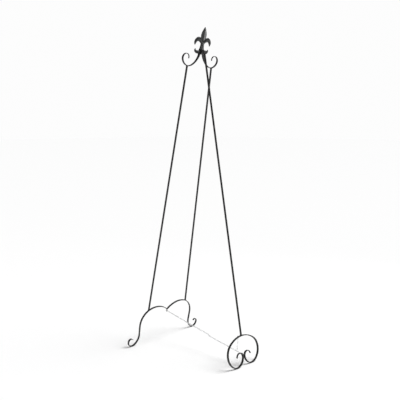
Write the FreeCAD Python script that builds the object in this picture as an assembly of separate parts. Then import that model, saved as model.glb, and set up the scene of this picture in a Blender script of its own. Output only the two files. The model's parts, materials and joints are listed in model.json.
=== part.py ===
import FreeCAD, Part
import math
import os

from FreeCAD import Placement, Rotation, Vector

# Wrought-iron floor easel on three legs, in millimetres.
# +Z is up, -Y is the side that shows the picture, +X is to the right of a person facing it.
# The origin is on the floor, in the middle of the easel's footprint.
#
# The front frame is flat and leans back. Everything in it is drawn upright in the XZ plane
# and then leaned by on_front. The back leg and its heart-shaped foot lie in a second plane,
# drawn the same way and leaned forward by on_back.

# Driving dimensions
spread = 551.3              # between the two planes' lines on the floor
front_lean = 10.98          # degrees that the front frame leans back
back_lean = 10.33           # degrees that the back leg leans forward
rod_diameter = 9.0          # the three legs
scroll_width = 9.0          # flat bar of the front scrolls, across the frame's plane
scroll_thickness = 3.5
heart_width = 9.5           # heavier flat bar of the back foot
heart_thickness = 4.2

front_leg_foot = (126.0, 174.0)     # where a front leg stands on its foot scroll
front_leg_head = (79.0, 1374.4)     # where it meets its top scroll

# Scrolls of the right-hand side: a start, a heading in degrees, then bends. A bend is
# (radius, turn in degrees), and a radius of None is a straight run of that length.
foot_scroll_start = (0.0, 152.0)
foot_scroll_heading = 41.4
foot_scroll_bends = [(120.7, -59.3), (79.0, -74.7), (None, 44.3),
                     (52.8, 64.2), (25.1, 128.0), (13.7, 134.5)]
top_scroll_start = (12.7, 1427.9)
top_scroll_heading = -72.6
top_scroll_bends = [(82.4, 45.6), (42.0, 72.0), (35.6, 28.1), (20.8, 124.8), (15.7, 90.7)]
heart_start = (0.0, 135.6)
heart_heading = 0.0
heart_bends = [(133.3, -36.1), (60.8, -118.8), (44.3, -104.6), (20.0, -183.9)]

hinge_height = 1412.0       # of the fold's bolt above the floor
bolt_radius = 3.0
bore_clearance = 0.08       # between the bolt and the leg's barrel
barrel_radius = 7.0
barrel_length = 12.0
side_gap = 0.4              # between the barrel and each ear
ear_thickness = 3.0
hex_across_flats = 10.0
washer_radius = 6.0
washer_thickness = 1.2

link_wire = 1.6             # diameter of the chain's wire
link_half_width = 2.25      # of a link, to the middle of its wire
link_slack = 0.1            # free play between two links
links_in_front = 33         # the chain folds where its front and rear lengths meet
links_in_rear = 23
links_in_tail = 7
chain_sag = 2.5             # of the middle of the chain below its ends
chain_offset = 4.3          # each length stands this far to its own side where they meet
eye_radius = 4.2            # of the rings that hold the chain, to the middle of the wire
eye_wire = 2.4

# Derived places
x_axis = Vector(1, 0, 0)
alpha = math.radians(front_lean)
beta = math.radians(back_lean)
front_reach = scroll_width / 2 * math.cos(2 * alpha) / math.cos(alpha)
back_reach = heart_width / 2 * math.cos(2 * beta) / math.cos(beta)
front_line = -(spread + back_reach - front_reach) / 2
back_line = front_line + spread
hinge_on_leg = hinge_height / math.cos(beta)
hinge_y = back_line - hinge_on_leg * math.sin(beta)
bore_radius = bolt_radius + bore_clearance


def on_front(shape):
    """Lean a shape drawn upright in the XZ plane into the front frame's plane."""
    leaning = Placement(Vector(0, front_line, 0), Rotation(x_axis, -front_lean))
    return shape.transformed(leaning.toMatrix())


def on_back(shape):
    """Lean a shape drawn upright in the XZ plane into the back leg's plane."""
    leaning = Placement(Vector(0, back_line, 0), Rotation(x_axis, back_lean))
    return shape.transformed(leaning.toMatrix())


def mirrored(shape):
    return shape.mirror(Vector(0, 0, 0), x_axis)


def front_point(x, out, up):
    """World place of a point of the front frame, out being behind its plane."""
    return Vector(x, front_line + out * math.cos(alpha) + up * math.sin(alpha),
                  up * math.cos(alpha) - out * math.sin(alpha))


def back_point(x, out, up):
    """World place of a point of the back leg, out being behind its plane."""
    return Vector(x, back_line + out * math.cos(beta) - up * math.sin(beta),
                  up * math.cos(beta) + out * math.sin(beta))


def bar(start, heading, bends, thickness, width, lead=0.0):
    """Flat bar bent the easy way along straight runs and tangent arcs, lead longer at its start."""
    angle = math.radians(heading)
    here = Vector(start[0] - lead * math.cos(angle), 0, start[1] - lead * math.sin(angle))
    if lead:
        bends = [(None, lead)] + bends
    sides = {1: [], -1: []}

    def beside(point, angle, side):
        return point + Vector(-math.sin(angle), 0, math.cos(angle)) * (side * thickness / 2)

    first = {side: beside(here, angle, side) for side in sides}
    for radius, amount in bends:
        if radius is None:
            there = here + Vector(math.cos(angle), 0, math.sin(angle)) * amount
            for side in sides:
                edge = Part.LineSegment(beside(here, angle, side), beside(there, angle, side))
                sides[side].append(edge.toShape())
            here = there
            continue
        turn = math.radians(amount)
        hand = math.copysign(1, turn)
        centre = here + Vector(-math.sin(angle), 0, math.cos(angle)) * (hand * radius)

        def at(heading_there):
            return centre + Vector(math.sin(heading_there), 0, -math.cos(heading_there)) * (hand * radius)

        for side in sides:
            marks = [beside(at(angle + part * turn), angle + part * turn, side) for part in (0, 0.5, 1)]
            sides[side].append(Part.Arc(*marks).toShape())
        here = at(angle + turn)
        angle += turn
    last = {side: beside(here, angle, side) for side in sides}
    ends = [Part.makeLine(last[1], last[-1]), Part.makeLine(first[-1], first[1])]
    edges = sides[1] + ends[:1] + sides[-1][::-1] + ends[1:]
    outline = Part.Wire(Part.__sortEdges__(edges))
    shape = Part.Face(outline).extrude(Vector(0, width, 0))
    shape.translate(Vector(0, -width / 2, 0))
    return shape


def stood_on_floor(shape, width, lean):
    """Raise an upright shape so that, once it leans, its lowest edge just meets the floor."""
    shape.translate(Vector(0, 0, width / 2 * math.tan(math.radians(lean)) - shape.BoundBox.ZMin))
    return shape


def right_of_centre(shape):
    reach = 2000.0
    return shape.cut(Part.makeBox(reach, reach, reach, Vector(-reach, -reach / 2, 0)))


def rod(start, end):
    run = end - start
    return Part.makeCylinder(rod_diameter / 2, run.Length, start, run)


def largest(shape):
    return max(shape.Solids, key=lambda solid: solid.Volume)


def hexagon(across_flats, x_from, x_to):
    """Hexagonal prism along X through the origin."""
    corner = across_flats / math.sqrt(3)
    turns = [math.radians(60 * k) for k in range(6)]
    points = [Vector(x_from, corner * math.cos(turn), corner * math.sin(turn)) for turn in turns]
    return Part.Face(Part.makePolygon(points + points[:1])).extrude(Vector(x_to - x_from, 0, 0))


# ---- front frame -------------------------------------------------------------------------

foot_scroll = stood_on_floor(
    right_of_centre(bar(foot_scroll_start, foot_scroll_heading, foot_scroll_bends,
                        scroll_thickness, scroll_width, lead=6.0)),
    scroll_width, front_lean)

# The finial is a fleur-de-lis casting, built from lofts whose sections are diamonds or
# rectangles. A station is (x, height, half width, half thickness).
finial_foot = 1430.0
finial_lean = 3.4           # degrees that the casting leans back from the frame
finial_forward = 3.0        # of the casting's foot in front of the frame's plane


def leaf(stations, tip, start=None):
    """Pointed cast leaf with a ridge on both faces, following its stations to its tip."""
    places = [Vector(x, 0, up) for x, up, half, deep in stations]
    ends = [Vector(start[0], 0, start[1])] if start else []
    line = ends + places + [Vector(tip[0], 0, tip[1])]
    sections = [Part.Vertex(line[0])] if start else []
    for number, (x, up, half, deep) in enumerate(stations):
        where = number + len(ends)
        ahead = line[where + 1] - line[max(where - 1, 0)]
        ahead.normalize()
        across = Vector(-ahead.z, 0, ahead.x) * half
        through = Vector(0, deep, 0)
        corners = [places[number] + step for step in (across, through, across * -1, through * -1)]
        sections.append(Part.makePolygon(corners + corners[:1]))
    sections.append(Part.Vertex(line[-1]))
    return Part.makeLoft(sections, True, False)


def block_loft(stations):
    """Stem of the casting: rectangles with cut corners, one for each (height, half width, half depth)."""
    wires = []
    for up, half, deep in stations:
        cut = 0.45 * deep
        quarter = [(half, deep - cut), (half - cut, deep)]
        ring = quarter + [(-x, y) for x, y in quarter[::-1]]
        ring = ring + [(-x, -y) for x, y in ring]
        points = [Vector(x, y, up) for x, y in ring]
        wires.append(Part.makePolygon(points + points[:1]))
    return Part.makeLoft(wires, True, True)


spear = leaf([(0, 1474, 8, 4.4), (0, 1490, 13, 4.2), (0, 1504, 16.4, 4), (0, 1516, 17.4, 4),
              (0, 1527, 15, 3.8), (0, 1538, 10, 3.2), (0, 1546, 5.2, 2.4)], tip=(0, 1553), start=(0, 1460))
petal = leaf([(3, 1475, 5, 4.5), (9, 1486.5, 8.2, 5.6), (19, 1494.5, 9.6, 5.8), (31, 1497, 9.4, 5.6),
              (40.5, 1492, 8.4, 5), (45.8, 1484.5, 7.2, 4.4), (47.2, 1477, 5.2, 3.6)], tip=(46.6, 1469.5))
hook = leaf([(3, 1443, 6, 6), (14, 1440.5, 7.6, 6), (25, 1439.5, 7, 5.6), (34, 1441, 6.2, 5),
             (39.2, 1445, 5.2, 4.2), (40.4, 1449.5, 3.8, 3.2)], tip=(39.6, 1454.5))
stem = block_loft([(finial_foot, 17, 6.5), (1434, 18.5, 7), (1445, 17.5, 7), (1452, 15, 6.5), (1461, 12, 6),
                   (1471, 10.5, 5.5), (1484, 9.5, 5)])
finial = largest(stem.fuse([spear, petal, mirrored(petal), hook, mirrored(hook)]))
finial.rotate(Vector(0, 0, finial_foot), x_axis, -finial_lean)
finial.translate(Vector(0, -finial_forward, 0))

top_scroll = bar(top_scroll_start, top_scroll_heading, top_scroll_bends,
                 scroll_thickness, scroll_width, lead=6.0)
top_scroll = largest(top_scroll.cut(finial))

front_leg = rod(Vector(front_leg_foot[0], 0, front_leg_foot[1]),
                Vector(front_leg_head[0], 0, front_leg_head[1]))
front_leg = largest(front_leg.cut(foot_scroll).cut(top_scroll))

# Hinge: a bracket with two ears behind the finial's foot, in the front frame's upright plane.
hinge_world = Vector(0, hinge_y - front_line, hinge_height)
hinge_out = hinge_world.y * math.cos(alpha) - hinge_world.z * math.sin(alpha)
hinge_up = hinge_world.y * math.sin(alpha) + hinge_world.z * math.cos(alpha)
ear_radius = 8.0
plate_front = 1.5           # the bracket's plate starts this far behind the frame's plane
plate_back = 8.5
plate_height = 20.0
ear_inside = barrel_length / 2 + side_gap
ear_outside = ear_inside + ear_thickness


def ear(x_from):
    arm = Part.makeBox(ear_thickness, hinge_out - plate_back + ear_thickness, 2 * ear_radius,
                       Vector(x_from, plate_back - ear_thickness, hinge_up - ear_radius))
    place = Vector(x_from, hinge_out, hinge_up)
    end = Part.makeCylinder(ear_radius, ear_thickness, place, x_axis)
    hole = Part.makeCylinder(bore_radius, ear_thickness, place, x_axis)
    return arm.fuse(end).cut(hole)


plate = Part.makeBox(2 * ear_outside, plate_back - plate_front, plate_height,
                     Vector(-ear_outside, plate_front, hinge_up - plate_height / 2))
bracket = plate.fuse([ear(ear_inside), ear(-ear_outside)]).removeSplitter()
bracket = largest(bracket.cut([finial, top_scroll, mirrored(top_scroll)]))

# Bolt, washers and nut, drawn about the X axis and moved to the hinge.
head_length = 4.0
nut_length = 5.0
thread_past_nut = 2.0
washer_outside = ear_outside + washer_thickness
to_hinge = Vector(0, hinge_y, hinge_height)


def about_hinge(shape):
    shape.translate(to_hinge)
    return shape


shank = Part.makeCylinder(bolt_radius, 2 * washer_outside + nut_length + thread_past_nut,
                          Vector(-washer_outside - nut_length - thread_past_nut, 0, 0), x_axis)
bolt = about_hinge(shank.fuse(hexagon(hex_across_flats, washer_outside, washer_outside + head_length)))
nut = about_hinge(hexagon(hex_across_flats, -washer_outside - nut_length, -washer_outside).cut(shank))


def washer(x_from):
    disc = Part.makeCylinder(washer_radius, washer_thickness, Vector(x_from, 0, 0), x_axis)
    return disc.cut(Part.makeCylinder(bore_radius, washer_thickness, Vector(x_from, 0, 0), x_axis))


washers = about_hinge(Part.makeCompound([washer(ear_outside), washer(-washer_outside)]))


def eye(centre):
    """Small ring in the YZ plane, welded on for the chain."""
    return Part.makeTorus(eye_radius, eye_wire / 2, centre, x_axis)


# The front eye hangs from the point where the two foot scrolls meet.
bite = 0.3                  # that a weld sinks an eye into its neighbour
valley_drop = scroll_thickness / 2 / math.cos(math.radians(foot_scroll_heading))
valley_under = foot_scroll_start[1] - valley_drop
front_eye_up = valley_under - eye_radius - eye_wire / 2 + bite
front_eye = front_point(0, 0, front_eye_up)
foot_scroll_right = on_front(foot_scroll)
foot_scroll_left = mirrored(foot_scroll_right)
chain_eye_front = largest(eye(front_eye).cut(foot_scroll_right.fuse(foot_scroll_left)))

# ---- back leg ----------------------------------------------------------------------------

heart_half = stood_on_floor(bar(heart_start, heart_heading, heart_bends, heart_thickness, heart_width),
                            heart_width, back_lean)
leg_foot = heart_start[1]
back_rod = rod(Vector(0, 0, leg_foot), Vector(0, 0, hinge_on_leg))
barrel_end = Vector(-barrel_length / 2, 0, hinge_on_leg)
barrel = Part.makeCylinder(barrel_radius, barrel_length, barrel_end, x_axis)
bore = Part.makeCylinder(bore_radius, barrel_length, barrel_end, x_axis)
back_rod = largest(back_rod.cut(barrel).cut(heart_half.fuse(mirrored(heart_half))))
hinge_barrel = barrel.cut(bore)

# A short round tie joins the heart's two inner curls and carries the rear eye above its front.
tie_up = 49.0
tie_radius = 4.0
tie_reach = 12.0
tie = Part.makeCylinder(tie_radius, 2 * tie_reach, Vector(-tie_reach, 0, tie_up), x_axis)
tie = tie.cut(heart_half).cut(mirrored(heart_half))
curl_tie = next(solid for solid in tie.Solids if abs(solid.CenterOfMass.x) < 1)
tie_to_eye = tie_radius + eye_radius + eye_wire / 2 - bite
eye_rise = math.radians(25)
rear_eye = back_point(0, -tie_to_eye * math.cos(eye_rise), tie_up + tie_to_eye * math.sin(eye_rise))
chain_eye_rear = largest(eye(rear_eye).cut(on_back(curl_tie)))

# A third eye stands on the front edge of the heart's top, just right of the leg.
tail_eye_x = 10.0
tail_eye_up = 132.5
tail_eye = back_point(tail_eye_x, -(heart_width / 2 + eye_radius + eye_wire / 2 - bite), tail_eye_up)
chain_eye_tail = largest(eye(tail_eye).cut(on_back(heart_half)))

# ---- chain -------------------------------------------------------------------------------

crown_play = 0.15           # between an eye and the end of the link that hangs in it
crown_inside_eye = eye_radius - eye_wire / 2 - link_wire / 2 - crown_play
chain_span = (rear_eye - front_eye).Length
link_pitch = (chain_span - 2 * crown_inside_eye - link_wire - link_slack) / (links_in_front + links_in_rear)
link_half_length = (link_pitch + link_wire + link_slack) / 2


def make_link():
    """One link lying in the XY plane with its long way along Y."""
    straight = link_half_length - link_half_width
    wire = link_wire / 2
    pieces = []
    for end in (1, -1):
        turn = Part.makeTorus(link_half_width, wire, Vector(0, 0, 0), Vector(0, 0, 1), 0, 360, 180)
        turn.rotate(Vector(0, 0, 0), Vector(0, 0, 1), 0 if end == 1 else 180)
        turn.translate(Vector(0, end * straight, 0))
        corner = Vector(end * link_half_width, -straight, 0)
        side = Part.makeCylinder(wire, 2 * straight, corner, Vector(0, 1, 0))
        pieces += [turn, side]
    return pieces[0].fuse(pieces[1:]).removeSplitter()


link = make_link()


def link_at(place, along, on_edge):
    roll = Rotation(Vector(0, 1, 0), 90 if on_edge else 0)
    return link.transformed(Placement(place, Rotation(Vector(0, 1, 0), along).multiply(roll)).toMatrix())


def chain_length(eye_place, far_eye, count, side):
    """Links from one eye towards the other, drifting to one side and sagging a little."""
    drift = Vector(side * chain_offset * (links_in_front + links_in_rear) / count, 0, 0)

    def route(part):
        sag = Vector(0, 0, -4 * chain_sag * part * (1 - part))
        return eye_place + (far_eye - eye_place) * part + drift * part + sag

    links = []
    for number in range(count):
        part = (crown_inside_eye + link_half_length + number * link_pitch) / chain_span
        step = link_pitch / chain_span / 2
        along = route(part + step) - route(part - step)
        links.append(link_at(route(part), along, number % 2 == 1))
    return Part.makeCompound(links)


chain_front = chain_length(front_eye, rear_eye, links_in_front, -1)
chain_rear = chain_length(rear_eye, front_eye, links_in_rear, 1)

# The chain's spare end hangs from the third eye, close beside the rear half.
tail_drop = Vector(-3.0, -8.0, -62.0)
tail_along = tail_drop * (1 / tail_drop.Length)
tail_links = []
for number in range(links_in_tail):
    place = tail_eye + tail_along * (crown_inside_eye + link_half_length + number * link_pitch)
    tail_links.append(link_at(place, tail_along, number % 2 == 1))
chain_tail = Part.makeCompound(tail_links)

# ---- export ------------------------------------------------------------------------------

nodes = {
    "foot_scroll_right": foot_scroll_right,
    "foot_scroll_left": foot_scroll_left,
    "top_scroll_right": on_front(top_scroll),
    "top_scroll_left": on_front(mirrored(top_scroll)),
    "front_leg_right": on_front(front_leg),
    "front_leg_left": on_front(mirrored(front_leg)),
    "finial": on_front(finial),
    "hinge_bracket": on_front(bracket),
    "hinge_bolt": bolt,
    "hinge_nut": nut,
    "hinge_washers": washers,
    "chain_eye_front": chain_eye_front,
    "back_leg": on_back(back_rod),
    "hinge_barrel": on_back(hinge_barrel),
    "heart_scroll_right": on_back(heart_half),
    "heart_scroll_left": on_back(mirrored(heart_half)),
    "curl_tie": on_back(curl_tie),
    "chain_eye_rear": chain_eye_rear,
    "chain_eye_tail": chain_eye_tail,
    "chain_tail": chain_tail,
    "chain_front": chain_front,
    "chain_rear": chain_rear,
}

os.makedirs("parts", exist_ok=True)
for name, shape in nodes.items():
    shape.exportStep("parts/" + name + ".step")

print("front eye", front_eye, "rear eye", rear_eye, "hinge", to_hinge)
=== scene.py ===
import json
import math

import bmesh
import bpy
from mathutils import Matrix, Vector, noise


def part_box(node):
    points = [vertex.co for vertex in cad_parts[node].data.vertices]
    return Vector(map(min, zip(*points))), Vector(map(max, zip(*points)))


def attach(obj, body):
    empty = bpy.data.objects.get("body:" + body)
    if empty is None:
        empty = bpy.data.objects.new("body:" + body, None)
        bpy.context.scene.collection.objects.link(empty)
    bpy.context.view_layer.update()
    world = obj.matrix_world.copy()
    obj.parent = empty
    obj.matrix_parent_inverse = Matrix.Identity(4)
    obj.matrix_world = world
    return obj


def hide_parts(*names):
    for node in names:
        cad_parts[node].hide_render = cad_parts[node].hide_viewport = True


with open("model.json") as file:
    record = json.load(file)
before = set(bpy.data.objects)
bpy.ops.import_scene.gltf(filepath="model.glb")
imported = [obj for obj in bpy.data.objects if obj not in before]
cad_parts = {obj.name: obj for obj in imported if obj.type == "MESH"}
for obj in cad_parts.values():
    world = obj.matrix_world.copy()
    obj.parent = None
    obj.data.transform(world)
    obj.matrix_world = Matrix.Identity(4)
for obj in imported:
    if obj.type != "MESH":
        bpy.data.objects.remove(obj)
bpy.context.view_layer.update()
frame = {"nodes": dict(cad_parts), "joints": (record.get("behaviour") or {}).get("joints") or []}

# A wrought-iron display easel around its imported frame, in metres. The front frame and the back
# leg each lie in a leaning plane, so most pieces are drawn as (x, out, up): out is behind the
# plane, up is along it from its line on the floor. The sizes below are the easel's own.
mm = 0.001

front_lean = math.radians(10.98)
back_lean = math.radians(10.33)
rod_radius = 4.5 * mm
scroll_width = 9.0 * mm
scroll_thickness = 3.5 * mm
heart_width = 9.5 * mm
heart_thickness = 4.2 * mm
front_leg_foot = (126.0 * mm, 174.0 * mm)
front_leg_head = (79.0 * mm, 1374.4 * mm)

# A bend is (radius in mm, turn in degrees); a radius of None is a straight run of that length.
foot_scroll_start = (0.0, 152.0 * mm)
foot_scroll_heading = 41.4
foot_scroll_bends = [(120.7, -59.3), (79.0, -74.7), (None, 44.3),
                     (52.8, 64.2), (25.1, 128.0), (13.7, 134.5)]
top_scroll_start = (12.7 * mm, 1427.9 * mm)
top_scroll_heading = -72.6
top_scroll_bends = [(82.4, 45.6), (42.0, 72.0), (35.6, 28.1), (20.8, 124.8), (15.7, 90.7)]
heart_start = (0.0, 135.6 * mm)
heart_heading = 0.0
heart_bends = [(133.3, -36.1), (60.8, -118.8), (44.3, -104.6), (20.0, -183.9)]

# How far a hammer has moved the surface, and the radius of each kind of weld bead.
bar_dents = 0.16 * mm
rod_dents = 0.14 * mm
foot_bead = 1.3 * mm
scroll_bead = 1.2 * mm
valley_bead = 1.5 * mm
leg_bead = 1.6 * mm
eye_bead = 1.3 * mm
tie_bead = 1.1 * mm

front_reach = scroll_width / 2 * math.cos(2 * front_lean) / math.cos(front_lean)
back_reach = heart_width / 2 * math.cos(2 * back_lean) / math.cos(back_lean)
front_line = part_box("foot_scroll_right")[0].y + front_reach
back_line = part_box("heart_scroll_right")[1].y - back_reach
joint_place = {j["name"]: Vector(j["pos_m"]) for j in frame["joints"]}
hinge = joint_place["leg_fold"]


def on_front(x, out, up):
    return Vector((x, front_line + out * math.cos(front_lean) + up * math.sin(front_lean),
                   up * math.cos(front_lean) - out * math.sin(front_lean)))


def on_back(x, out, up):
    return Vector((x, back_line + out * math.cos(back_lean) - up * math.sin(back_lean),
                   up * math.cos(back_lean) + out * math.sin(back_lean)))


# ---- materials ---------------------------------------------------------------------------

def node_material(name):
    material = bpy.data.materials.new(name)
    material.use_nodes = True
    tree = material.node_tree
    return material, tree, tree.nodes["Principled BSDF"]


def add(tree, kind, **values):
    """A node with its properties and inputs set; inputs are named with spaces as underscores."""
    node = tree.nodes.new(kind)
    for key, value in values.items():
        if hasattr(node, key):
            setattr(node, key, value)
        else:
            node.inputs[key.replace("_", " ")].default_value = value
    return node


def ramp(tree, source, low, high, dark, light):
    """A colour that runs from dark to light while the source runs from low to high."""
    node = tree.nodes.new("ShaderNodeValToRGB")
    node.color_ramp.elements[0].position = low
    node.color_ramp.elements[1].position = high
    node.color_ramp.elements[0].color = (*dark, 1)
    node.color_ramp.elements[1].color = (*light, 1)
    tree.links.new(source, node.inputs["Fac"])
    return node.outputs["Color"]


def blend_colour(tree, factor, first, second):
    """The first colour where the factor is 0, the second where it is 1."""
    node = tree.nodes.new("ShaderNodeMix")
    node.data_type = "RGBA"
    tree.links.new(factor, node.inputs["Factor"])
    tree.links.new(first, node.inputs["A"])
    tree.links.new(second, node.inputs["B"])
    return node.outputs["Result"]


def map_value(tree, source, low, high, to_low, to_high):
    """The source's range low to high, stretched to another range."""
    node = add(tree, "ShaderNodeMapRange")
    limits = {"From Min": low, "From Max": high, "To Min": to_low, "To Max": to_high}
    for key, value in limits.items():
        node.inputs[key].default_value = value
    tree.links.new(source, node.inputs["Value"])
    return node.outputs["Result"]


def painted_iron(name, dark, light, gloss, dent_size, dent_depth, worn):
    """Black satin paint on iron: mottled colour, dents, orange peel and paler worn edges."""
    material, tree, shader = node_material(name)
    place = tree.nodes.new("ShaderNodeTexCoord").outputs["Object"]
    mottle = add(tree, "ShaderNodeTexNoise", Scale=26.0, Detail=4.0, Roughness=0.6)
    dents = add(tree, "ShaderNodeTexVoronoi", feature="SMOOTH_F1", Scale=1.0 / dent_size,
                Smoothness=0.7)
    peel = add(tree, "ShaderNodeTexNoise", Scale=900.0, Detail=3.0, Roughness=0.55)
    speck = add(tree, "ShaderNodeTexNoise", Scale=330.0, Detail=6.0, Roughness=0.7)
    for texture in (mottle, dents, peel, speck):
        tree.links.new(place, texture.inputs["Vector"])
    base = ramp(tree, mottle.outputs["Fac"], 0.35, 0.7, dark, light)
    geometry = tree.nodes.new("ShaderNodeNewGeometry")
    edge = map_value(tree, geometry.outputs["Pointiness"], 0.53, 0.62, 0.0, 0.55)
    ragged = add(tree, "ShaderNodeMath", operation="MULTIPLY")
    tree.links.new(edge, ragged.inputs[0])
    tree.links.new(map_value(tree, speck.outputs["Fac"], 0.45, 0.65, 0.0, 1.0), ragged.inputs[1])
    rub = ramp(tree, speck.outputs["Fac"], 0.3, 0.8, worn, tuple(1.6 * part for part in worn))
    tree.links.new(blend_colour(tree, ragged.outputs["Value"], base, rub),
                   shader.inputs["Base Color"])
    tree.links.new(map_value(tree, mottle.outputs["Fac"], 0.3, 0.75, *gloss),
                   shader.inputs["Roughness"])
    deep = add(tree, "ShaderNodeBump", Strength=0.5, Distance=dent_depth)
    fine = add(tree, "ShaderNodeBump", Strength=0.35, Distance=0.00006)
    tree.links.new(dents.outputs["Distance"], deep.inputs["Height"])
    tree.links.new(peel.outputs["Fac"], fine.inputs["Height"])
    tree.links.new(deep.outputs["Normal"], fine.inputs["Normal"])
    tree.links.new(fine.outputs["Normal"], shader.inputs["Normal"])
    shader.inputs["Specular IOR Level"].default_value = 0.4
    return material


def bright_zinc(name):
    """Plated chain wire: bright grey metal with cloudy patches and fine drawing lines."""
    material, tree, shader = node_material(name)
    place = tree.nodes.new("ShaderNodeTexCoord").outputs["Object"]
    cloud = add(tree, "ShaderNodeTexNoise", Scale=240.0, Detail=4.0, Roughness=0.6)
    lines = add(tree, "ShaderNodeTexNoise", Scale=2600.0, Detail=2.0, Roughness=0.5)
    for texture in (cloud, lines):
        tree.links.new(place, texture.inputs["Vector"])
    silver = ramp(tree, cloud.outputs["Fac"], 0.3, 0.75, (0.80, 0.81, 0.82), (0.95, 0.95, 0.95))
    tree.links.new(silver, shader.inputs["Base Color"])
    tree.links.new(map_value(tree, cloud.outputs["Fac"], 0.3, 0.7, 0.2, 0.38),
                   shader.inputs["Roughness"])
    bump = add(tree, "ShaderNodeBump", Strength=0.25, Distance=0.00004)
    tree.links.new(lines.outputs["Fac"], bump.inputs["Height"])
    tree.links.new(bump.outputs["Normal"], shader.inputs["Normal"])
    shader.inputs["Metallic"].default_value = 1.0
    return material


forged_paint = painted_iron("forged_paint", (0.007, 0.007, 0.0073), (0.014, 0.0137, 0.0135),
                            (0.38, 0.55), dent_size=7.0 * mm, dent_depth=0.35 * mm, worn=(0.10, 0.09, 0.08))
cast_paint = painted_iron("cast_paint", (0.011, 0.0117, 0.0117), (0.022, 0.0236, 0.0236),
                          (0.26, 0.4), dent_size=2.6 * mm, dent_depth=0.16 * mm, worn=(0.12, 0.115, 0.10))
# The hardware's own black paint, made paler than the forged paint partly as painted light: the extra
# paleness stands in for light where the bracket's ears shade the finial's foot.
hardware_paint_and_painted_light = painted_iron("hardware_paint_and_painted_light", (0.016, 0.016, 0.0165), (0.028, 0.028, 0.029),
                              (0.3, 0.45), dent_size=4.0 * mm, dent_depth=0.05 * mm, worn=(0.25, 0.24, 0.22))
chain_zinc = bright_zinc("chain_zinc")


# ---- mesh building -----------------------------------------------------------------------

def piece(name, shape, body, material, nodes=()):
    """A new object made from a bmesh, riding on its body and standing for its nodes."""
    mesh = bpy.data.meshes.new(name)
    bmesh.ops.recalc_face_normals(shape, faces=shape.faces[:])
    for face in shape.faces:
        face.smooth = True
    shape.to_mesh(mesh)
    shape.free()
    thing = bpy.data.objects.new(name, mesh)
    bpy.context.scene.collection.objects.link(thing)
    mesh.materials.append(material)
    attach(thing, body)
    if nodes:
        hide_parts(*nodes)
    return thing


def gather(shape, other):
    """Move another bmesh's faces into this one."""
    spare = bpy.data.meshes.new("spare")
    other.to_mesh(spare)
    other.free()
    shape.from_mesh(spare)
    bpy.data.meshes.remove(spare)


def skin(shape, rings, closed=False, tips=(None, None)):
    """Quads between rings of points; each open end closes on a tip point."""
    made = [[shape.verts.new(point) for point in ring] for ring in rings]
    count = len(made[0])
    pairs = list(zip(made, made[1:]))
    if closed:
        pairs.append((made[-1], made[0]))
    for near, far in pairs:
        for k in range(count):
            shape.faces.new((near[k], near[(k + 1) % count], far[(k + 1) % count], far[k]))
    for ring, tip in ((made[0], tips[0]), (made[-1], tips[1])):
        if tip is None or closed:
            continue
        end = shape.verts.new(tip)
        for k in range(count):
            shape.faces.new((ring[k], ring[(k + 1) % count], end))


def hammered(point, outward, depth):
    """Move a surface point in or out as a smith's hammer leaves it."""
    broad = noise.noise(point * 90.0)
    sharp = noise.noise(point * 260.0 + Vector((7.0, 3.0, 5.0)))
    return point + outward * (depth * (0.75 * broad + 0.25 * sharp))


def bend_route(start, heading, bends, lead=0.0, step=2.5 * mm):
    """Stations (x, up, heading in radians) along straight runs and tangent arcs."""
    angle = math.radians(heading)
    x = start[0] - lead * math.cos(angle)
    up = start[1] - lead * math.sin(angle)
    stations = [(x, up, angle)]
    runs = ([(None, lead / mm)] if lead else []) + bends
    for radius, amount in runs:
        length = amount * mm if radius is None else radius * mm * abs(math.radians(amount))
        pieces = max(2, round(length / step))
        turn = 0.0 if radius is None else math.radians(amount) / pieces
        stride = length / pieces
        for _ in range(pieces):
            middle = angle + turn / 2
            chord = stride if not turn else 2 * radius * mm * math.sin(abs(turn) / 2)
            x += chord * math.cos(middle)
            up += chord * math.sin(middle)
            angle += turn
            stations.append((x, up, angle))
    return stations


def corner_ring(thickness, width, rounding, per_corner=4):
    """Rounded rectangle as (across the thickness, across the width) pairs."""
    ring = []
    for number, (side, edge) in enumerate(((1, 1), (-1, 1), (-1, -1), (1, -1))):
        for k in range(per_corner):
            turn = math.radians(90 * number + 90 * k / (per_corner - 1))
            ring.append((side * (thickness / 2 - rounding) + rounding * math.cos(turn),
                         edge * (width / 2 - rounding) + rounding * math.sin(turn)))
        if number % 2 == 0:
            ring.append((0.0, edge * (width / 2 + 0.02 * width)))
        else:
            ring.append((side * (thickness / 2 + 0.03 * thickness), 0.0))
    return ring


def forged_bar(stations, thickness, width, plane, side, tip, root=(1.0, 1.0)):
    """A flat bar along its stations, drawn out at its last end and left heavier at its root.

    tip is (length, thickness, width) and root is (length, thickness), as parts of the bar's own.
    """
    tip_run, tip_thin, tip_wide = tip
    root_run, root_thick = root
    shape = bmesh.new()
    lengths = [0.0]
    for near, far in zip(stations, stations[1:]):
        lengths.append(lengths[-1] + math.hypot(far[0] - near[0], far[1] - near[1]))
    rings = []
    for (x, up, angle), gone in zip(stations, lengths):
        left = max(0.0, 1.0 - (lengths[-1] - gone) / tip_run)
        ease = left * left * (3 - 2 * left)
        near = max(0.0, 1.0 - gone / root_run)
        thin = thickness * (1 - (1 - tip_thin) * ease + (root_thick - 1) * near * near)
        wide = width * (1 - (1 - tip_wide) * ease)
        rounding = min(0.55 * mm, 0.45 * thin)
        ring = []
        for across, through in corner_ring(thin, wide, rounding):
            spot = (x - math.sin(angle) * across, up + math.cos(angle) * across)
            outward = plane(side * -math.sin(angle) * across, through, math.cos(angle) * across)
            outward = (outward - plane(0, 0, 0)).normalized()
            ring.append(hammered(plane(side * spot[0], through, spot[1]), outward, bar_dents))
        rings.append(ring)
    x, up, angle = stations[-1]
    nose = 0.9 * mm
    end = plane(side * (x + nose * math.cos(angle)), 0, up + nose * math.sin(angle))
    start = plane(side * stations[0][0], 0, stations[0][1])
    skin(shape, rings, tips=(start, end))
    return shape


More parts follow.
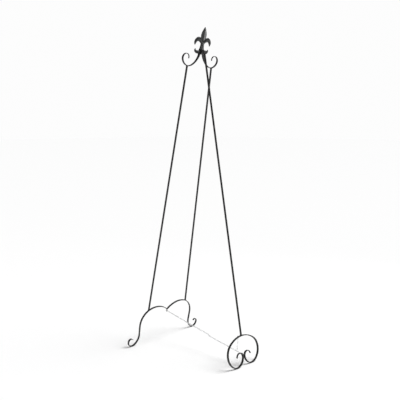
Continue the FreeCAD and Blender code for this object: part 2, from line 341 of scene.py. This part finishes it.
def frame_across(along):
    """Two unit vectors square to along and to each other."""
    along = along.normalized()
    first = Vector((1, 0, 0)).cross(along)
    if first.length < 0.1:
        first = Vector((0, 1, 0)).cross(along)
    first.normalize()
    return first, along.cross(first)


def forged_rod(start, end, radius, step=5.0 * mm, around=20):
    """A round bar between two points, with the slight waver of hand-drawn stock."""
    shape = bmesh.new()
    run = end - start
    first, second = frame_across(run)
    count = max(2, round(run.length / step))
    rings = []
    for number in range(count + 1):
        here = start + run * (number / count)
        ring = []
        for k in range(around):
            turn = 2 * math.pi * k / around
            outward = first * math.cos(turn) + second * math.sin(turn)
            ring.append(hammered(here + outward * radius, outward, rod_dents))
        rings.append(ring)
    skin(shape, rings, tips=(start, end))
    return shape


def weld_ring(centre, axis, radius, bead, stretch=1.0, ripples=13):
    """A lumpy weld bead laid round a joint: overlapping pools of metal."""
    shape = bmesh.new()
    first, second = frame_across(axis)
    along = axis.normalized()
    rings = []
    count = ripples * 6
    for number in range(count):
        turn = 2 * math.pi * number / count
        outward = first * math.cos(turn) * stretch + second * math.sin(turn)
        swell = 1 + 0.16 * math.cos(ripples * turn) + 0.12 * noise.noise(centre * 400 + outward * 1.7)
        middle = centre + outward * radius
        ring = []
        for k in range(9):
            roll = 2 * math.pi * k / 9
            toward = outward.normalized() * math.cos(roll) + along * math.sin(roll)
            ring.append(middle + toward * bead * swell)
        rings.append(ring)
    skin(shape, rings, closed=True)
    return shape


def weld_seam(start, end, bead, ripples):
    """A weld bead laid in a straight run: overlapping pools that fade out at both ends."""
    shape = bmesh.new()
    run = end - start
    first, second = frame_across(run)
    count = ripples * 6
    rings = []
    for number in range(count + 1):
        part = number / count
        fade = math.sqrt(max(0.0, 1 - (2 * part - 1) ** 6)) * 0.8 + 0.2
        middle = start + run * part
        lumps = 0.16 * math.cos(2 * math.pi * ripples * part) + 0.12 * noise.noise(middle * 500)
        ring = []
        for k in range(10):
            roll = 2 * math.pi * k / 10
            toward = first * math.cos(roll) + second * math.sin(roll)
            ring.append(middle + toward * bead * fade * (1 + lumps))
        rings.append(ring)
    skin(shape, rings, tips=(start, end))
    return shape


def wire_loop(points, radius, around=10):
    """Round wire along a closed loop of points."""
    shape = bmesh.new()
    count = len(points)
    centre = sum(points, Vector()) / count
    normal = (points[0] - centre).cross(points[count // 4] - centre).normalized()
    rings = []
    for number, point in enumerate(points):
        along = (points[(number + 1) % count] - points[number - 1]).normalized()
        outward = along.cross(normal)
        ring = []
        for k in range(around):
            roll = 2 * math.pi * k / around
            ring.append(point + (outward * math.cos(roll) + normal * math.sin(roll)) * radius)
        rings.append(ring)
    skin(shape, rings, closed=True)
    return shape


# ---- front frame and back leg --------------------------------------------------------------

def lift(stations, thickness, width, lean):
    """Raise a scroll so that its lowest edge meets the floor once its plane leans."""
    lowest = min(station[1] for station in stations) - thickness / 2
    rise = width / 2 * math.tan(lean) - lowest
    return [(x, up + rise, angle) for x, up, angle in stations]


foot_route = bend_route(foot_scroll_start, foot_scroll_heading, foot_scroll_bends)
foot_route = lift(foot_route, scroll_thickness, scroll_width, front_lean)
top_route = bend_route(top_scroll_start, top_scroll_heading, top_scroll_bends, lead=4.0 * mm)
heart_route = bend_route(heart_start, heart_heading, heart_bends)
heart_route = lift(heart_route, heart_thickness, heart_width, back_lean)

# How far each weld ring stands from the end of its rod.
foot_weld_rise = 2.2 * mm
head_weld_drop = 2.0 * mm
leg_weld_rise = 2.8 * mm
barrel_weld_drop = 7.4 * mm
seam_half = 4.0 * mm
barrel_inside = 6.0 * mm    # the back leg's rod ends this far below the hinge

# Each bar's drawn-out tip and, at the finial, its heavier root, as forged_bar reads them.
foot_tip = (30 * mm, 0.7, 0.9)
top_tip = (70 * mm, 0.6, 0.65)
top_root = (60 * mm, 2.6)
heart_tip = (45 * mm, 0.5, 0.85)

for side, hand in ((1, "right"), (-1, "left")):
    piece("foot_scroll_" + hand + "_forged",
          forged_bar(foot_route, scroll_thickness, scroll_width, on_front, side, foot_tip),
          "front_frame", forged_paint, ["foot_scroll_" + hand])
    piece("top_scroll_" + hand + "_forged",
          forged_bar(top_route, scroll_thickness, scroll_width, on_front, side, top_tip, top_root),
          "front_frame", forged_paint, ["top_scroll_" + hand])
    piece("heart_scroll_" + hand + "_forged",
          forged_bar(heart_route, heart_thickness, heart_width, on_back, side, heart_tip),
          "rear_leg", forged_paint, ["heart_scroll_" + hand])
    foot = on_front(side * front_leg_foot[0], 0, front_leg_foot[1])
    head = on_front(side * front_leg_head[0], 0, front_leg_head[1])
    run = (head - foot).normalized()
    piece("front_leg_" + hand + "_forged", forged_rod(foot, head, rod_radius),
          "front_frame", forged_paint, ["front_leg_" + hand])
    ring_radius = rod_radius + 0.2 * mm
    piece("foot_weld_" + hand,
          weld_ring(foot + run * foot_weld_rise, run, ring_radius, foot_bead),
          "front_frame", forged_paint)
    piece("head_weld_" + hand,
          weld_ring(head - run * head_weld_drop, run, ring_radius, scroll_bead),
          "front_frame", forged_paint)

    top_x, top_up, top_angle = top_route[2]
    top_joint = on_front(side * top_x, 0, top_up)
    ahead = on_front(side * (top_x + math.cos(top_angle)), 0, top_up + math.sin(top_angle))
    bead_out = scroll_thickness / 2 + 0.4 * mm
    piece("finial_weld_" + hand,
          weld_ring(top_joint, ahead - top_joint, bead_out, scroll_bead,
                    (scroll_width / 2 + 0.2 * mm) / bead_out),
          "front_frame", forged_paint)

valley_up = foot_route[0][1]
notch = scroll_thickness / 2 / math.cos(foot_route[0][2])
piece("valley_weld",
      weld_seam(on_front(0, -seam_half, valley_up + notch), on_front(0, seam_half, valley_up + notch),
                valley_bead, 5),
      "front_frame", forged_paint)

leg_foot = on_back(0, 0, heart_start[1])
leg_run = (hinge - leg_foot).normalized()
piece("back_leg_forged", forged_rod(leg_foot, hinge - leg_run * barrel_inside, rod_radius),
      "rear_leg", forged_paint, ["back_leg"])
piece("back_leg_weld",
      weld_ring(leg_foot + leg_run * leg_weld_rise, leg_run, rod_radius + 0.4 * mm, leg_bead),
      "rear_leg", forged_paint)

heart_under = heart_route[0][1] - heart_thickness / 2
piece("heart_weld",
      weld_seam(on_back(0, -seam_half, heart_under), on_back(0, seam_half, heart_under),
                scroll_bead, 5),
      "rear_leg", forged_paint)

# ---- finial --------------------------------------------------------------------------------

finial_foot = 1430.0 * mm
finial_lean = math.radians(3.4)
finial_forward = 3.0 * mm
leaf_rim = 0.8              # mm, half the thickness that a leaf keeps along its edge


def on_finial(x, out, up):
    """Place of a point of the casting, which leans back a little from the frame."""
    rise = up - finial_foot
    return on_front(x, out * math.cos(finial_lean) + rise * math.sin(finial_lean) - finial_forward,
                    finial_foot + rise * math.cos(finial_lean) - out * math.sin(finial_lean))


def smooth_between(rows, count):
    """More rows through the given ones, on a Catmull-Rom curve."""
    out = []
    for number in range(len(rows) - 1):
        before = rows[max(number - 1, 0)]
        near, far = rows[number], rows[number + 1]
        after = rows[min(number + 2, len(rows) - 1)]
        for k in range(count):
            t = k / count
            row = []
            for a, b, c, d in zip(before, near, far, after):
                row.append(0.5 * (2 * b + (c - a) * t + (2 * a - 5 * b + 4 * c - d) * t * t
                                  + (3 * b - a - 3 * c + d) * t ** 3))
            out.append(tuple(row))
    out.append(rows[-1])
    return out


def cast_leaf(shape, rows, side, hollow):
    """A pointed leaf with a ridge on both faces; rows are (x, up, half width, half depth) in mm."""
    rows = smooth_between(rows, 6)
    rings = []
    for number, (x, up, half, deep) in enumerate(rows):
        after = rows[min(number + 1, len(rows) - 1)]
        before = rows[max(number - 1, 0)]
        ahead = (Vector(after[:2]) - Vector(before[:2])).normalized()
        ring = []
        rim = min(leaf_rim, 0.6 * deep)
        for face in (1, -1):
            for k in range(11):
                part = face * (1 - k / 5)
                bow = 1 - hollow * 4 * abs(part) * (1 - abs(part))
                across = part * bow * half
                through = face * (rim + (deep - rim) * (1 - abs(part)) * bow)
                ring.append(on_finial(side * (x - ahead.y * across) * mm, through * mm,
                                      (up + ahead.x * across) * mm))
        rings.append(ring)
    ends = [on_finial(side * row[0] * mm, 0, row[1] * mm) for row in (rows[0], rows[-1])]
    skin(shape, rings, tips=ends)


def cast_stem(shape, rows):
    """The stem: a rib down the middle between two flutes; rows are (up, half width, half depth)."""
    rings = []
    for up, half, deep in smooth_between(rows, 6):
        front = []
        for k in range(25):
            part = -1 + k / 12
            crown = 0.62 + 0.38 * (1 - abs(part)) - 0.2 * math.exp(-((abs(part) - 0.5) / 0.14) ** 2)
            edge = min(1.0, 3.0 * (1 - abs(part)) + 0.35)
            front.append((part * half, crown * edge * deep))
        outline = front + [(x, -out) for x, out in front[::-1]]
        rings.append([on_finial(x * mm, out * mm, up * mm) for x, out in outline])
    ends = [on_finial(0, 0, rows[0][0] * mm), on_finial(0, 0, rows[-1][0] * mm)]
    skin(shape, rings, tips=ends)


# The casting's leaves, as cast_leaf reads them, and its stem, as cast_stem does.
spear_rows = [(0, 1458, 1, 2), (0, 1474, 8, 4.2), (0, 1490, 13, 3.8), (0, 1504, 16.4, 3.6),
              (0, 1516, 17.4, 3.6), (0, 1527, 15, 3.4), (0, 1538, 10, 3), (0, 1546, 5.2, 2.2),
              (0, 1552.5, 0.6, 0.6)]
petal_rows = [(0, 1468, 3, 4), (3, 1476, 6, 5), (9, 1487, 8.6, 5.8), (19, 1494.5, 9.8, 6),
              (31, 1497, 9.6, 5.8), (40.5, 1492, 8.6, 5.2), (45.8, 1484.5, 7.4, 4.6),
              (47.2, 1477, 5.2, 3.7), (46.6, 1469.5, 0.8, 1.2)]
hook_rows = [(0, 1444, 5, 5), (6, 1442.5, 7, 6), (14, 1440.5, 8, 6.2), (25, 1439.5, 7.2, 5.8),
             (34, 1441, 6.3, 5.2), (39.2, 1445, 5.2, 4.3), (40.4, 1449.5, 3.8, 3.3),
             (39.6, 1454.5, 0.8, 1.2)]
stem_rows = [(1430.2, 16.6, 6.2), (1434, 18.4, 7), (1445, 17.5, 7), (1452, 15, 6.6), (1461, 12, 6.2),
             (1471, 10.4, 5.8), (1484, 9.4, 5.4), (1492, 7, 4)]


def union_of_lofts(lofts, cell, smoothing, keep):
    """One closed skin round several overlapping lofts, softened as a casting is."""
    mesh = bpy.data.meshes.new("lofts")
    lofts.to_mesh(mesh)
    lofts.free()
    thing = bpy.data.objects.new("lofts", mesh)
    bpy.context.scene.collection.objects.link(thing)
    fuse = thing.modifiers.new("fuse", "REMESH")
    fuse.mode = "VOXEL"
    fuse.voxel_size = cell
    soften = thing.modifiers.new("soften", "SMOOTH")
    soften.factor = 0.5
    soften.iterations = smoothing
    thin = thing.modifiers.new("thin", "DECIMATE")
    thin.ratio = keep
    seen = thing.evaluated_get(bpy.context.evaluated_depsgraph_get())
    shape = bmesh.new()
    shape.from_mesh(seen.to_mesh())
    bpy.data.objects.remove(thing)
    return shape


lofts = bmesh.new()
cast_leaf(lofts, spear_rows, 1, 0.10)
for side in (1, -1):
    cast_leaf(lofts, petal_rows, side, -0.12)
    cast_leaf(lofts, hook_rows, side, -0.14)
cast_stem(lofts, stem_rows)
piece("finial_casting", union_of_lofts(lofts, cell=0.45 * mm, smoothing=4, keep=0.3),
      "front_frame", cast_paint, ["finial"])

# ---- hinge ---------------------------------------------------------------------------------

def softened(node, name, body, material, edge):
    """A copy of a machined part with its sharp edges broken."""
    shape = bmesh.new()
    shape.from_mesh(frame["nodes"][node].data)
    bmesh.ops.remove_doubles(shape, verts=shape.verts[:], dist=0.001 * mm)
    bmesh.ops.dissolve_limit(shape, angle_limit=math.radians(1.0),
                             verts=shape.verts[:], edges=shape.edges[:])
    sharp = []
    for line in shape.edges:
        if len(line.link_faces) == 2 and line.calc_face_angle() > math.radians(40):
            sharp.append(line)
    bmesh.ops.bevel(shape, geom=sharp, offset=edge, segments=2, profile=0.5,
                    affect="EDGES", clamp_overlap=True)
    return piece(name, shape, body, material, [node])


def lathe_hex(x_face, x_end, flats, chamfered):
    """A hexagon about the hinge's axis with its outer corners turned off at x_end."""
    shape = bmesh.new()
    apothem = flats / 2
    depth = abs(x_end - x_face)
    direction = math.copysign(1, x_end - x_face)
    levels = [0.0, depth - chamfered, depth - 0.66 * chamfered, depth - 0.33 * chamfered, depth]
    rings = []
    for level in levels:
        limit = apothem * 0.96 + (depth - level) * 1.73
        ring = []
        for k in range(36):
            turn = 2 * math.pi * k / 36
            wedge = (turn + math.pi / 6) % (math.pi / 3) - math.pi / 6
            radius = min(apothem / math.cos(wedge), limit)
            ring.append(hinge + Vector((x_face + direction * level,
                                        radius * math.cos(turn), radius * math.sin(turn))))
        rings.append(ring)
    ends = [hinge + Vector((x_face, 0, 0)), hinge + Vector((x_end, 0, 0))]
    skin(shape, rings, tips=ends)
    return shape


def threaded_shank(x_start, x_end, radius, pitch, thread_from):
    """The bolt's shank: plain, then ridged with thread towards x_end, with a turned end."""
    shape = bmesh.new()
    rings = []
    count = 90
    for number in range(count + 1):
        x = x_start + (x_end - x_start) * number / count
        ring = []
        for k in range(20):
            turn = 2 * math.pi * k / 20
            grown = radius
            gone = abs(x - x_start)
            if gone > thread_from:
                grown -= 0.28 * mm * (0.5 + 0.5 * math.cos(2 * math.pi * gone / pitch + turn))
            grown = min(grown, radius - 0.9 * mm + abs(x_end - x) * 1.2)
            ring.append(hinge + Vector((x, grown * math.cos(turn), grown * math.sin(turn))))
        rings.append(ring)
    skin(shape, rings, tips=(hinge + Vector((x_start, 0, 0)), hinge + Vector((x_end, 0, 0))))
    return shape


bolt_radius = 3.0 * mm
thread_pitch = 1.0 * mm
hex_chamfer = 1.1 * mm
bolt_low, bolt_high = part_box("hinge_bolt")
nut_low, nut_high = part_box("hinge_nut")
hex_flats = nut_high.z - nut_low.z
head_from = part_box("hinge_washers")[1].x
bolt_head = lathe_hex(head_from, bolt_high.x, hex_flats, hex_chamfer)
shank = threaded_shank(head_from, bolt_low.x, bolt_radius, thread_pitch,
                       thread_from=head_from - nut_high.x - 2.0 * mm)
gather(bolt_head, shank)
piece("hinge_bolt_turned", bolt_head, "front_frame", hardware_paint_and_painted_light, ["hinge_bolt"])
piece("hinge_nut_turned", lathe_hex(nut_high.x, nut_low.x, hex_flats, hex_chamfer),
      "front_frame", hardware_paint_and_painted_light, ["hinge_nut"])
softened("hinge_washers", "hinge_washers_pressed", "front_frame",
         hardware_paint_and_painted_light, 0.25 * mm)
softened("hinge_bracket", "hinge_bracket_bent", "front_frame",
         hardware_paint_and_painted_light, 0.5 * mm)
softened("hinge_barrel", "hinge_barrel_turned", "rear_leg", forged_paint, 0.4 * mm)
softened("curl_tie", "curl_tie_bar", "rear_leg", forged_paint, 0.3 * mm)

piece("barrel_weld", weld_ring(hinge - leg_run * barrel_weld_drop, leg_run, rod_radius, scroll_bead),
      "rear_leg", forged_paint)
bracket_weld_x = 9.9 * mm
bracket_weld_low = (2.6 * mm, 1434 * mm)
bracket_weld_high = (3.2 * mm, 1450 * mm)
for side, hand in ((1, "right"), (-1, "left")):
    piece("bracket_weld_" + hand,
          weld_seam(on_front(side * bracket_weld_x, *bracket_weld_low),
                    on_front(side * bracket_weld_x, *bracket_weld_high), valley_bead, 7),
          "front_frame", forged_paint)

# ---- chain ---------------------------------------------------------------------------------

front_eye = joint_place["chain_front_swing"]
rear_eye = joint_place["chain_rear_swing"]
eye_radius = 4.2 * mm
eye_wire = 1.2 * mm         # radius of the wire that an eye is made of
link_wire = 0.8 * mm        # radius of the wire that a link is made of
link_half_width = 2.25 * mm
link_slack = 0.1 * mm
crown_play = 0.15 * mm
link_gap = 2.0 * link_wire + link_slack
crown_inside_eye = eye_radius - eye_wire - link_wire - crown_play
links_in_front = 33
links_in_rear = 23
links_in_tail = 7
chain_sag = 2.5 * mm
chain_offset = 4.3 * mm
chain_span = (rear_eye - front_eye).length
link_pitch = (chain_span - 2 * crown_inside_eye - link_gap) / (links_in_front + links_in_rear)
link_half_length = (link_pitch + link_gap) / 2


def ring_points(centre, radius, count=28):
    """Points round a circle that stands in the YZ plane."""
    turns = [2 * math.pi * k / count for k in range(count)]
    return [centre + Vector((0, radius * math.cos(turn), radius * math.sin(turn))) for turn in turns]


def add_link(shape, place, along, on_edge):
    """One link of round wire, its long way along the chain, turned on edge or lying flat."""
    along = along.normalized()
    flat = along.cross(Vector((0, 0, 1))).normalized()
    across = along.cross(flat) if on_edge else flat
    straight = link_half_length - link_half_width
    points = []
    for end in (1, -1):
        for k in range(9):
            turn = math.pi * k / 8 - math.pi / 2
            points.append(place + along * end * (straight + link_half_width * math.cos(turn))
                          + across * end * link_half_width * math.sin(turn))
    gather(shape, wire_loop(points, link_wire, around=8))


def chain_length(eye_place, far_eye, count, side):
    """Links from one eye towards the other, drifting to one side and sagging a little."""
    drift = Vector((side * chain_offset * (links_in_front + links_in_rear) / count, 0, 0))
    shape = bmesh.new()

    def route(part):
        sag = Vector((0, 0, -4 * chain_sag * part * (1 - part)))
        return eye_place + (far_eye - eye_place) * part + drift * part + sag

    for number in range(count):
        part = (crown_inside_eye + link_half_length + number * link_pitch) / chain_span
        step = link_pitch / chain_span / 2
        add_link(shape, route(part), route(part + step) - route(part - step), number % 2 == 1)
    return shape


piece("chain_front_links", chain_length(front_eye, rear_eye, links_in_front, -1),
      "chain_front_length", chain_zinc, ["chain_front"])
piece("chain_rear_links", chain_length(rear_eye, front_eye, links_in_rear, 1),
      "chain_rear_length", chain_zinc, ["chain_rear"])

# The third eye is trimmed only where it meets the heart, so its lower, front and left limits
# tell its middle.
eye_reach = eye_radius + eye_wire
tail_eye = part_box("chain_eye_tail")[0] + Vector((eye_wire, eye_reach, eye_reach))
tail_along = Vector((-3.0, -8.0, -62.0)).normalized()
tail = bmesh.new()
for number in range(links_in_tail):
    place = tail_eye + tail_along * (crown_inside_eye + link_half_length + number * link_pitch)
    add_link(tail, place, tail_along, number % 2 == 1)
piece("chain_tail_links", tail, "rear_leg", chain_zinc, ["chain_tail"])

for name, place, body in (("front", front_eye, "front_frame"), ("rear", rear_eye, "rear_leg"),
                          ("tail", tail_eye, "rear_leg")):
    piece("chain_eye_" + name + "_ring", wire_loop(ring_points(place, eye_radius), eye_wire),
          body, forged_paint, ["chain_eye_" + name])

tie_up = 49.0 * mm
tie_radius = 4.0 * mm
tie_weld_in = 0.9 * mm
tie_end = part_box("curl_tie")[1].x - tie_weld_in
eye_rise = math.radians(25)
weld_half = 2.0 * mm
for side, hand in ((1, "right"), (-1, "left")):
    piece("tie_weld_" + hand,
          weld_ring(on_back(side * tie_end, 0, tie_up), Vector((1, 0, 0)),
                    tie_radius + 0.1 * mm, tie_bead),
          "rear_leg", forged_paint)
tie_side = on_back(0, -tie_radius * math.cos(eye_rise),
                   tie_up + tie_radius * math.sin(eye_rise))
tail_side = on_back(10.0 * mm, -heart_width / 2, 132.5 * mm)
valley_under = on_front(0, 0, valley_up - notch)
reach = Vector((weld_half, 0, 0))
for name, place, body in (("front", valley_under, "front_frame"), ("rear", tie_side, "rear_leg"),
                          ("tail", tail_side, "rear_leg")):
    piece("chain_eye_" + name + "_weld", weld_seam(place - reach, place + reach, eye_bead, 3),
          body, forged_paint)

# ---- stage ---------------------------------------------------------------------------------

def stage_floor():
    shape = bmesh.new()
    bmesh.ops.create_grid(shape, x_segments=1, y_segments=1, size=40.0)
    mesh = bpy.data.meshes.new("floor")
    shape.to_mesh(mesh)
    shape.free()
    floor = bpy.data.objects.new("floor", mesh)
    bpy.context.scene.collection.objects.link(floor)
    material, _, shader = node_material("floor_white")
    shader.inputs["Base Color"].default_value = (0.94, 0.94, 0.94, 1)
    shader.inputs["Roughness"].default_value = 0.9
    shader.inputs["Specular IOR Level"].default_value = 0.1
    mesh.materials.append(material)


def light(name, kind, place, target, power, **settings):
    lamp = bpy.data.lights.new(name, kind)
    lamp.energy = power
    for key, value in settings.items():
        setattr(lamp, key, value)
    thing = bpy.data.objects.new(name, lamp)
    thing.location = place
    thing.rotation_euler = (Vector(target) - Vector(place)).to_track_quat("-Z", "Y").to_euler()
    bpy.context.scene.collection.objects.link(thing)


stage_floor()
middle = Vector((0, 0, 0.8))
light("key_sun", "SUN", (-2.0, 2.0, 5.0), middle, 3.2, angle=math.radians(40))
light("side_softbox", "AREA", (-2.8, 1.1, 1.1), (0, 0, 1.35), 7, shape="RECTANGLE", size=1.4, size_y=1.2,
      spread=math.radians(110))

world = bpy.data.worlds.new("studio")
bpy.context.scene.world = world
world.use_nodes = True
sky = world.node_tree
back = sky.nodes["Background"]
back.inputs["Color"].default_value = (1, 1, 1, 1)
back.inputs["Strength"].default_value = 0.22
bright = add(sky, "ShaderNodeBackground", Strength=0.98)
bright.inputs["Color"].default_value = (1, 1, 1, 1)
choose = sky.nodes.new("ShaderNodeMixShader")
sky.links.new(sky.nodes.new("ShaderNodeLightPath").outputs["Is Camera Ray"], choose.inputs["Fac"])
sky.links.new(back.outputs["Background"], choose.inputs[1])
sky.links.new(bright.outputs["Background"], choose.inputs[2])
sky.links.new(choose.outputs["Shader"], sky.nodes["World Output"].inputs["Surface"])

camera = bpy.data.objects.new("camera", bpy.data.cameras.new("camera"))
camera.location = (2.0042, 1.9507, 1.0838)
view_direction = Vector((-0.70924, -0.69380, -0.12499))
camera.rotation_euler = view_direction.to_track_quat("-Z", "Y").to_euler()
camera.data.lens = 53.88
camera.data.sensor_width = 36.0
camera.data.shift_y = 0.00115
camera.data.clip_end = 200.0
bpy.context.scene.collection.objects.link(camera)
bpy.context.scene.camera = camera
bpy.context.scene.view_settings.view_transform = "Standard"
